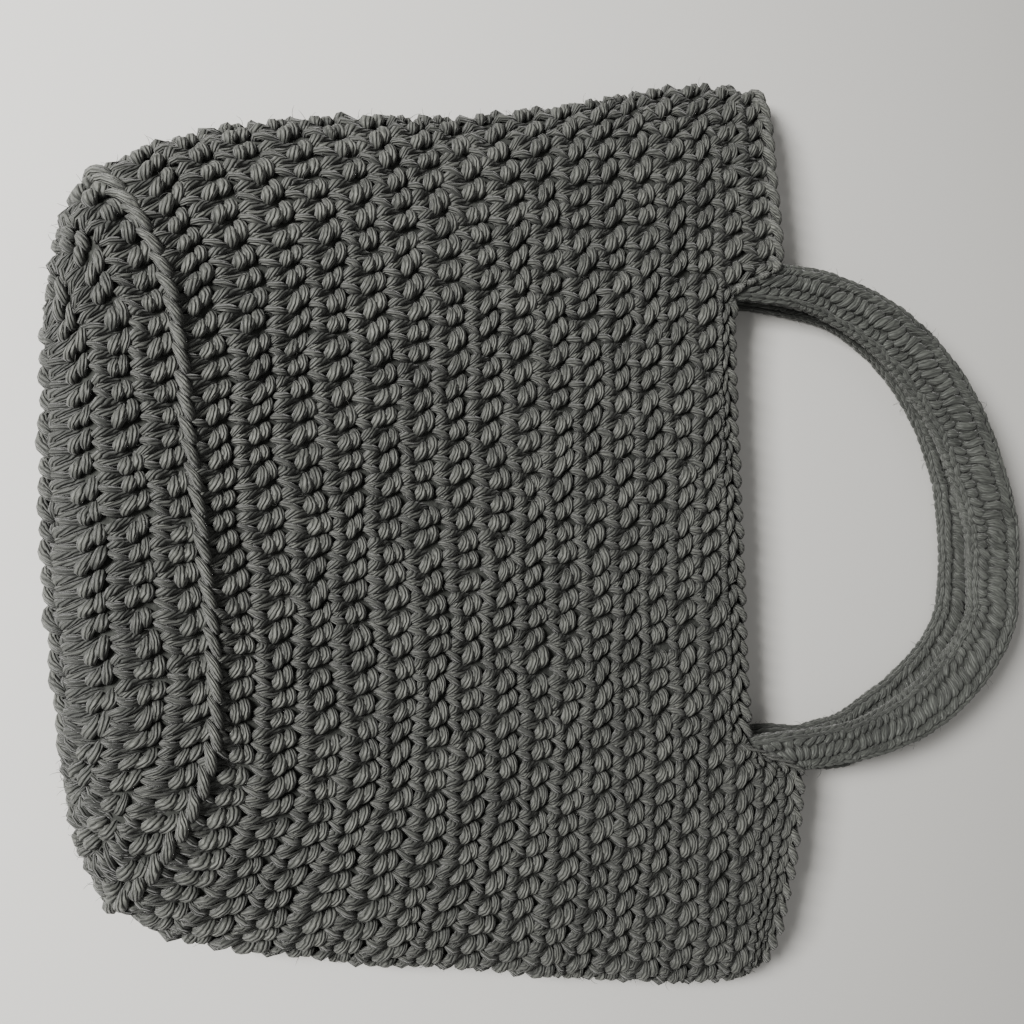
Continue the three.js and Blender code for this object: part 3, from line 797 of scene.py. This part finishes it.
class HANDBAG_OT_prepare(bpy.types.Operator):
    """Works out the bag's surface, the single stitches and the finishes"""

    bl_idname = "handbag.prepare"
    bl_label = "Prepare the stitches"

    def execute(self, context):
        values = context.scene.handbag
        shared["surface"] = BodySurface()
        shared["straps"] = strap_surfaces()
        for kind, template in TEMPLATES.items():
            shared[kind] = make_stitch(f"one_{kind}", *template)
        for name, look in YARN_LOOKS.items():
            shared[name] = yarn_finish(name, tuple(values.yarn_deep_shade), tuple(values.yarn_pale), **look)
        shared["fabric_core_shade"] = core_shade_finish("fabric_core_shade", CORE_SHADE_COLOUR)
        return {"FINISHED"}


def settle_on_floor(points, clear=0.15):
    """Presses what would lie under the floor flat against it."""
    points[:, 2] = np.maximum(points[:, 2], clear)
    return points


def wander(turn, level):
    """Hand-made rounds: places drift a little along and across the rounds."""
    round_trip = turn * 2 * math.pi
    drift = 0.06 * np.sin(7 * round_trip + 1.3 * level) + 0.05 * np.sin(17 * round_trip - 2.1 * level + 1.0)
    slide = 0.0011 * np.sin(5 * round_trip + 2.3 * level) + 0.0009 * np.sin(13 * round_trip - 3.7 * level)
    return turn + slide, level + drift * np.clip((level + BASE_ROUNDS) / 2, 0, 1)


def crochet_rounds(name, node, columns, rows, seed, turn_of, level_of, kind="body_stitch", shade=0.0):
    """Lays a swatch of body stitches on the bag's surface."""
    piece, points, _, _ = swatch(name, kind, columns, rows, seed, 1.0, shade)
    turn, level = wander(turn_of(points[:, 0], points[:, 1]), level_of(points[:, 1]))
    lay(piece, shared["surface"].place(turn, level, points[:, 2] - BODY_SEAT), "body_yarn", node)


class HANDBAG_OT_body(bpy.types.Operator):
    """Crochets the rounds of the body over the wall"""

    bl_idname = "handbag.body"
    bl_label = "Crochet the body"

    def execute(self, context):
        values = context.scene.handbag
        around = values.stitches_around
        half = around // 2
        for name, start, low, rows, kind, seed in (
            ("front_rounds_low", 0, 0, ROUNDS // 2, "body_stitch", 11),
            ("front_rounds_high", 0, ROUNDS // 2, ROUNDS // 2, "body_stitch", 13),
            ("back_rounds", half, 0, ROUNDS, "back_stitch", 12),
        ):
            crochet_rounds(
                name, "wall", half, rows, seed,
                lambda u, v: (u + start + values.slant * (v + low)) / around,
                lambda v: v + low,
                kind,
            )
        return {"FINISHED"}


class HANDBAG_OT_mouth_sections(bpy.types.Operator):
    """Crochets the short rounds beside the handles"""

    bl_idname = "handbag.mouth_sections"
    bl_label = "Crochet the mouth's raised sections"

    def execute(self, context):
        surface = shared["surface"]
        link_pitch, link_height, sunk, lowered = 6.4, 4.4, 1.6, 0.6
        for name, x, left, rows, seed in (
            ("left_mouth_section", OPENING_START, True, 1, 21),
            ("right_mouth_section", OPENING_END, False, 2, 22),
        ):
            front = surface.turn_at(ROUNDS + 1, x, True)
            rear = surface.turn_at(ROUNDS + 1, x, False)
            start, end = (rear - 1, front) if left else (front, rear)
            columns = round((end - start) * MOUTH_AROUND / BODY_PITCH)
            crochet_rounds(
                name, "wall", columns, rows, seed,
                lambda u, v: start + (end - start) * u / columns,
                lambda v: ROUNDS + SECTION_RISE * v / rows,
            )
            links = round((end - start) * MOUTH_AROUND / link_pitch)
            chain, points, _, _ = swatch(f"{name}_edge", "edge_link", links, 1, seed + 4, 0.8)
            turn = start + (end - start) * points[:, 0] / links
            placed = surface.place(turn, np.full(len(turn), EDGE_LEVEL), points[:, 2] - sunk)
            placed[:, 1] += points[:, 1] * link_height - lowered
            lay(chain, placed, "edge_yarn", "wall")
        return {"FINISHED"}


class HANDBAG_OT_base(bpy.types.Operator):
    """Crochets the oval rounds of the folded base"""

    bl_idname = "handbag.base"
    bl_label = "Crochet the base"

    def execute(self, context):
        surface = shared["surface"]
        for index in range(BASE_STITCH_ROUNDS):
            low = -(index + 1) * BASE_STITCH_RISE
            high = -index * BASE_STITCH_RISE
            middle = (low + high) / 2
            columns = round(surface.length_at(middle) / BASE_PITCH)

            def level_of(v):
                return low + v * (high - low)

            crochet_rounds(
                f"base_round_{index + 1}", "base", columns, 1, 31 + index,
                lambda u, v: surface.fanned((u + index * 0.4) / columns, level_of(v), middle),
                level_of,
                # Painted shade: each base round nearer the fold comes out darker
                shade=0.35 + 0.2 * index,
            )
        reach = BASE_HALF - BASE_ROUNDS * ROUND_HEIGHT
        link_pitch, link_height, above_middle, before_fold = 6.0, 5.2, 2.5, 2.0
        links = round(2 * reach / link_pitch)
        piece, points, _, _ = swatch("fold_chain", "edge_link", links, 1, 35, 1.2)
        x = (points[:, 0] / links * 2 - 1) * reach
        y = BASE_DEPTH * base_fold(x / BASE_HALF) - points[:, 2] + before_fold
        z = LOFT_AT_BASE / 2 + above_middle + points[:, 1] * link_height
        lay(piece, np.stack([x, y, z], axis=-1), "body_yarn", "base")
        return {"FINISHED"}


class HANDBAG_OT_core(bpy.types.Operator):
    """Makes the hollow core of the fabric under the stitches, dark with painted shade"""

    bl_idname = "handbag.core"
    bl_label = "Make the fabric's core"

    def execute(self, context):
        around, sunk, below_mouth, above_floor, fabric = 140, 2.3, 3.0, 1.2, 0.0016
        for name, node, low, high, rows in (
            ("wall_core", "wall", 0.0, EDGE_LEVEL, 60),
            ("base_core", "base", -BASE_ROUNDS, 0.0, 14),
        ):
            def place(turn, share):
                level = low + share * (high - low)
                placed = shared["surface"].place(turn, level, np.full(len(turn), -sunk))
                placed[:, 1] = np.minimum(placed[:, 1], mouth_edge(placed[:, 0]) - below_mouth)
                return settle_on_floor(placed, above_floor)

            bm = mesh_on_grid(around, rows, place, WELD)
            bmesh.ops.dissolve_degenerate(bm, edges=bm.edges, dist=FINE_WELD)
            bmesh.ops.recalc_face_normals(bm, faces=bm.faces)
            piece = new_mesh_object(name, bm)
            thickness = piece.modifiers.new("thickness", "SOLIDIFY")
            thickness.thickness = fabric
            thickness.offset = -1
            finish_piece(piece, "fabric_core_shade", node)
        return {"FINISHED"}


class HANDBAG_OT_ridge(bpy.types.Operator):
    """Chains the raised loops round the edge of the base"""

    bl_idname = "handbag.ridge"
    bl_label = "Chain the base's ridge"

    def execute(self, context):
        links, link_height, raised = 70, 5.0, 0.2
        piece, points, _, _ = swatch("ridge_chain", "ridge_link", links, 1, 41, 0.6)
        level = points[:, 1] * link_height / ROUND_HEIGHT
        placed = shared["surface"].place(points[:, 0] / links, level, points[:, 2] + raised)
        lay(piece, placed, "edge_yarn", "base_ridge")
        return {"FINISHED"}


class HANDBAG_OT_mouth_edges(bpy.types.Operator):
    """Chains the mouth's edge on the front and back layers"""

    bl_idname = "handbag.mouth_edges"
    bl_label = "Chain the mouth's edges"

    def execute(self, context):
        links, link_height, layer, beyond = 26, 4.6, 3.0, 2.2
        for name, height, node, seed in (
            ("front_mouth_chain", LOFT_AT_MOUTH - layer, "mouth_braid_front", 51),
            ("back_mouth_chain", layer, "mouth_braid_back", 52),
        ):
            piece, points, _, _ = swatch(name, "edge_link", links, 1, seed, 0.5)
            x = OPENING_START + (OPENING_END - OPENING_START) * points[:, 0] / links
            y = mouth_edge(x) + beyond + points[:, 1] * link_height
            lay(piece, np.stack([x, y, height + points[:, 2]], axis=-1), "edge_yarn", node)
        return {"FINISHED"}


class StrapSurface:
    """A strap read by how far along it and how far round its section."""

    ROOT_REACH = 22.0
    ROOT_DEPTH = 3.0
    PLACES = 400
    STATIONS = 600
    WIDE_POWER = 0.85
    HIGH_POWER = 0.5

    def __init__(self, table, rise, root_height, settled_height):
        count = len(table["across"])
        table = dict(table, index=list(range(count)))
        level = LAST_ROUND - MOUTH_SLOPE
        columns = ("across", "out", "width", "raised", "settled")
        curves = {name: smooth_table(table, "index", name) for name in columns}
        places = np.linspace(0, count - 1, self.PLACES)
        middle = np.stack([
            HANDLE_CENTRE + curves["across"](places) * HANDLE_SPAN / 2,
            level + curves["out"](places) * HANDLE_REACH,
            root_height + (settled_height - root_height) * curves["settled"](places),
        ], axis=-1)
        head, tail = (
            end + np.array([0, mouth_edge(end[0]) - self.ROOT_DEPTH - end[1], 0]) for end in middle[[0, -1]])
        for _ in range(6):
            middle[1:-1] = (middle[:-2] + middle[1:-1] * 2 + middle[2:]) / 4
        length = np.linalg.norm(middle[0] - head) + lengths_along(middle)
        length = np.concatenate([[0], length, [length[-1] + np.linalg.norm(middle[-1] - tail)]])
        middle = np.concatenate([[head], middle, [tail]])
        places = np.concatenate([[0], places, [count - 1]])
        self.length = length[-1]
        self.at = np.linspace(0, self.length, self.STATIONS)
        self.middle = read_along(self.at, length, middle)
        places = np.interp(self.at, length, places)
        along = unit(np.gradient(self.middle, axis=0))
        outward = unit(np.stack([-along[:, 1], along[:, 0], np.zeros(self.STATIONS)], axis=-1))
        self.width = curves["width"](places) * STRAP_WIDTH
        roll = np.arcsin(np.clip(curves["raised"](places) * rise / self.width, -0.9, 0.9))
        self.across = outward * np.cos(roll)[:, None]
        self.across[:, 2] = np.sin(roll)
        up = np.cross(along, self.across)
        up[up[:, 2] < 0] *= -1
        self.up = unit(up)

    def place(self, along, around, out):
        """Points so far along it, and round it from 0 at the inner edge over the top to 0.5 at the outer."""
        middle, across, up = (
            read_along(along, self.at, line) for line in (self.middle, self.across, self.up))
        width = np.interp(along, self.at, self.width)
        angle = np.mod(around, 1) * 2 * math.pi
        c, s = -np.cos(angle), np.sin(angle)
        wide = np.sign(c) * np.abs(c) ** self.WIDE_POWER * (width / 2 + out)
        high = np.sign(s) * np.abs(s) ** self.HIGH_POWER * (STRAP_THICKNESS / 2 + out)
        placed = middle + across * wide[:, None] + up * high[:, None]
        near = np.maximum(1 - np.minimum(along, self.length - along) / self.ROOT_REACH, 0)
        placed[:, 1] += (mouth_edge(placed[:, 0]) - mouth_edge(middle[:, 0])) * near
        return placed


def strap_surfaces():
    """The two straps, the front one over the back one."""
    back_root = STRAP_THICKNESS / 2 + ROOT_CLEARANCE
    back_settled = back_root + BACK_STRAP_RISE / 2
    front_root = LOFT_AT_MOUTH - STRAP_THICKNESS / 2
    front_settled = back_settled + STRAP_THICKNESS + STRAPS_APART + FRONT_STRAP_RISE / 2
    return {
        "front_handle": StrapSurface(FRONT_STRAP, FRONT_STRAP_RISE, front_root, front_settled),
        "back_handle": StrapSurface(BACK_STRAP, BACK_STRAP_RISE, back_root, back_settled),
    }


class HANDBAG_OT_handles(bpy.types.Operator):
    """Crochets the two strap handles"""

    bl_idname = "handbag.handles"
    bl_label = "Crochet the handles"

    def execute(self, context):
        core_columns, core_rows, sunk, above_floor = 160, 16, 1.1, 0.8
        for node, seed, turned_row in (("front_handle", 61, 1), ("back_handle", 62, 0)):
            strap = shared["straps"][node]
            columns = round(strap.length / STRAP_PITCH)
            piece, points, column, row = swatch(f"{node}_stitches", "strap_stitch", columns, 2, seed, 0.4)
            turned = row == turned_row
            along = np.where(turned, 2 * column + 1 - points[:, 0], points[:, 0]) / columns * strap.length
            across = np.where(turned, 2 * row + 1 - points[:, 1], points[:, 1])
            ripple = (0.35 * np.sin(along * 0.37) + 0.3 * np.sin(along * 0.83 + across * 9)
                      + 0.2 * np.sin(along * 1.9))
            sway = 0.7 * np.sin(across * 17 + along * 0.23)
            relief = (points[:, 2] - STRAP_SEAT) * (0.62 + ripple * 0.12)
            placed = strap.place(along + sway, across / 2 + ripple * 0.012, relief)
            lay(piece, placed, "handle_yarn", node)

            def place(share, around):
                placed = strap.place(share * strap.length, around, np.full(len(share), -sunk))
                return settle_on_floor(placed, above_floor)

            bm = mesh_on_grid(core_columns, core_rows, place, FINE_WELD)
            bmesh.ops.holes_fill(bm, edges=[edge for edge in bm.edges if edge.is_boundary], sides=0)
            bmesh.ops.recalc_face_normals(bm, faces=bm.faces)
            finish_piece(new_mesh_object(f"{node}_core", bm), "fabric_core_shade", node)
        return {"FINISHED"}


def stand_fibres(name, count, random, place, yarn, node):
    """Stands copies of the fibre on the fabric, each leaning its own way."""
    fibre = shared["fibre"]
    piece = crochet(name, fibre, count, 1)
    points = read_points(piece.data)
    cell = np.arange(len(points)) // len(fibre.data.vertices)
    points[:, 0] -= cell
    root = place(np.full(count, -0.6))
    outward = unit(place(np.full(count, 0.4)) - root)
    lean = random.normal(0, 0.75, (count, 3))
    ahead = unit(outward + lean - outward * np.sum(lean * outward, axis=1, keepdims=True))
    aside = unit(np.cross(ahead, random.normal(0, 1, (count, 3))))
    above = np.cross(ahead, aside)
    grow = random.uniform(0.55, 1.15, count)[cell][:, None]
    placed = root[cell] + grow * (
        ahead[cell] * points[:, :1] + aside[cell] * points[:, 1:2] + above[cell] * points[:, 2:3])
    give_values(piece.data, "tint", random.uniform(0.3, 0.9, count)[cell])
    # The loose fibres take almost none of the painted shade of the fabric's hollows
    give_values(piece.data, "shade_depth", np.full(len(points), 3.0))
    lay(piece, placed, yarn, node)


class HANDBAG_OT_fuzz(bpy.types.Operator):
    """Lets loose fibres stand out of the yarn"""

    bl_idname = "handbag.fuzz"
    bl_label = "Add loose fibres"

    def execute(self, context):
        surface = shared["surface"]
        random = np.random.default_rng(71)
        count = BODY_FIBRES
        turn = random.uniform(0, 1, count)
        sides = random.uniform(0, 1, count) < 0.45
        seams = np.where(random.uniform(0, 1, count) < 0.5, 0.0, 0.5) + random.normal(0, 0.02, count)
        turn[sides] = seams[sides]
        level = random.uniform(-BASE_ROUNDS + 0.1, ROUNDS + 1.5, count)
        stand_fibres(
            "body_fuzz", count, random, lambda out: surface.place(turn, level, out), "body_yarn", "wall")
        count = STRAP_FIBRES
        for node, strap in shared["straps"].items():
            along = random.uniform(8, strap.length - 8, count)
            around = random.uniform(0, 1, count)
            stand_fibres(
                f"{node}_fuzz", count, random, lambda out: strap.place(along, around, out),
                "handle_yarn", node)
        return {"FINISHED"}


class HANDBAG_OT_stage(bpy.types.Operator):
    """Sets the floor, the soft light and the camera"""

    bl_idname = "handbag.stage"
    bl_label = "Set the stage"

    def execute(self, context):
        values = context.scene.handbag
        bm = bmesh.new()
        bmesh.ops.create_grid(bm, x_segments=2, y_segments=2, size=FLOOR_HALF)
        floor = new_mesh_object("floor", bm)
        finish = Finish("pale_floor")
        grain = finish.noise(finish.object_place(), 6.0, 2.0)
        whole = tuple(values.floor_colour)
        colour = finish.blend(grain, dimmed(whole, 0.985), whole)
        floor.data.materials.append(finish.surface({"Base Color": colour, "Roughness": 0.7}))

        world = bpy.data.worlds.new("studio")
        bpy.context.scene.world = world
        world.use_nodes = True
        background = world.node_tree.nodes["Background"]
        background.inputs["Color"].default_value = (*WINDOW_COLOUR, 1.0)
        background.inputs["Strength"].default_value = values.fill_strength

        lamp = bpy.data.lights.new("window", "AREA")
        lamp.energy = values.key_power
        lamp.size = WINDOW_SIZE
        lamp.color = WINDOW_COLOUR
        light = new_object("window", lamp)
        light.location = WINDOW_PLACE
        light.rotation_euler = (-light.location).to_track_quat("-Z", "Y").to_euler()

        lens = bpy.data.cameras.new("camera")
        lens.lens = 36.0
        lens.sensor_width = 36.0
        camera = new_object("camera", lens)
        lean = math.radians(CAMERA_LEAN)
        right = Vector((0, math.cos(lean), math.sin(lean)))
        up = Vector((-1, 0, 0))
        back = right.cross(up)
        camera.matrix_world = Matrix.Translation((CAMERA_PLACE - BAG_MIDDLE) * MILLIMETRE) @ Matrix(
            (right, up, back)).transposed().to_4x4()
        context.scene.camera = camera
        return {"FINISHED"}


OPERATORS = (
    HANDBAG_OT_prepare,
    HANDBAG_OT_body,
    HANDBAG_OT_mouth_sections,
    HANDBAG_OT_base,
    HANDBAG_OT_core,
    HANDBAG_OT_ridge,
    HANDBAG_OT_mouth_edges,
    HANDBAG_OT_handles,
    HANDBAG_OT_fuzz,
    HANDBAG_OT_stage,
)


class HANDBAG_PT_panel(bpy.types.Panel):
    """Lists the steps of making the handbag"""

    bl_idname = "HANDBAG_PT_panel"
    bl_label = "Crochet handbag"
    bl_space_type = "VIEW_3D"
    bl_region_type = "UI"
    bl_category = "Handbag"

    def draw(self, context):
        values = context.scene.handbag
        for name in values.bl_rna.properties.keys():
            if name not in {"rna_type", "name"}:
                self.layout.prop(values, name)
        for operator in OPERATORS:
            self.layout.operator(operator.bl_idname)


CLASSES = (HandbagSettings, *OPERATORS, HANDBAG_PT_panel)


def register():
    for item in CLASSES:
        bpy.utils.register_class(item)
    bpy.types.Scene.handbag = bpy.props.PointerProperty(type=HandbagSettings)


def unregister():
    del bpy.types.Scene.handbag
    for item in reversed(CLASSES):
        bpy.utils.unregister_class(item)


def main():
    register()
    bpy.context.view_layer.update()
    bpy.ops.handbag.prepare()
    bpy.ops.handbag.body()
    bpy.ops.handbag.mouth_sections()
    bpy.ops.handbag.base()
    bpy.ops.handbag.core()
    bpy.ops.handbag.ridge()
    bpy.ops.handbag.mouth_edges()
    bpy.ops.handbag.handles()
    bpy.ops.handbag.fuzz()
    bpy.ops.handbag.stage()
    for kind in TEMPLATES:
        bpy.data.objects.remove(shared[kind])


if __name__ == "__main__":
    main()
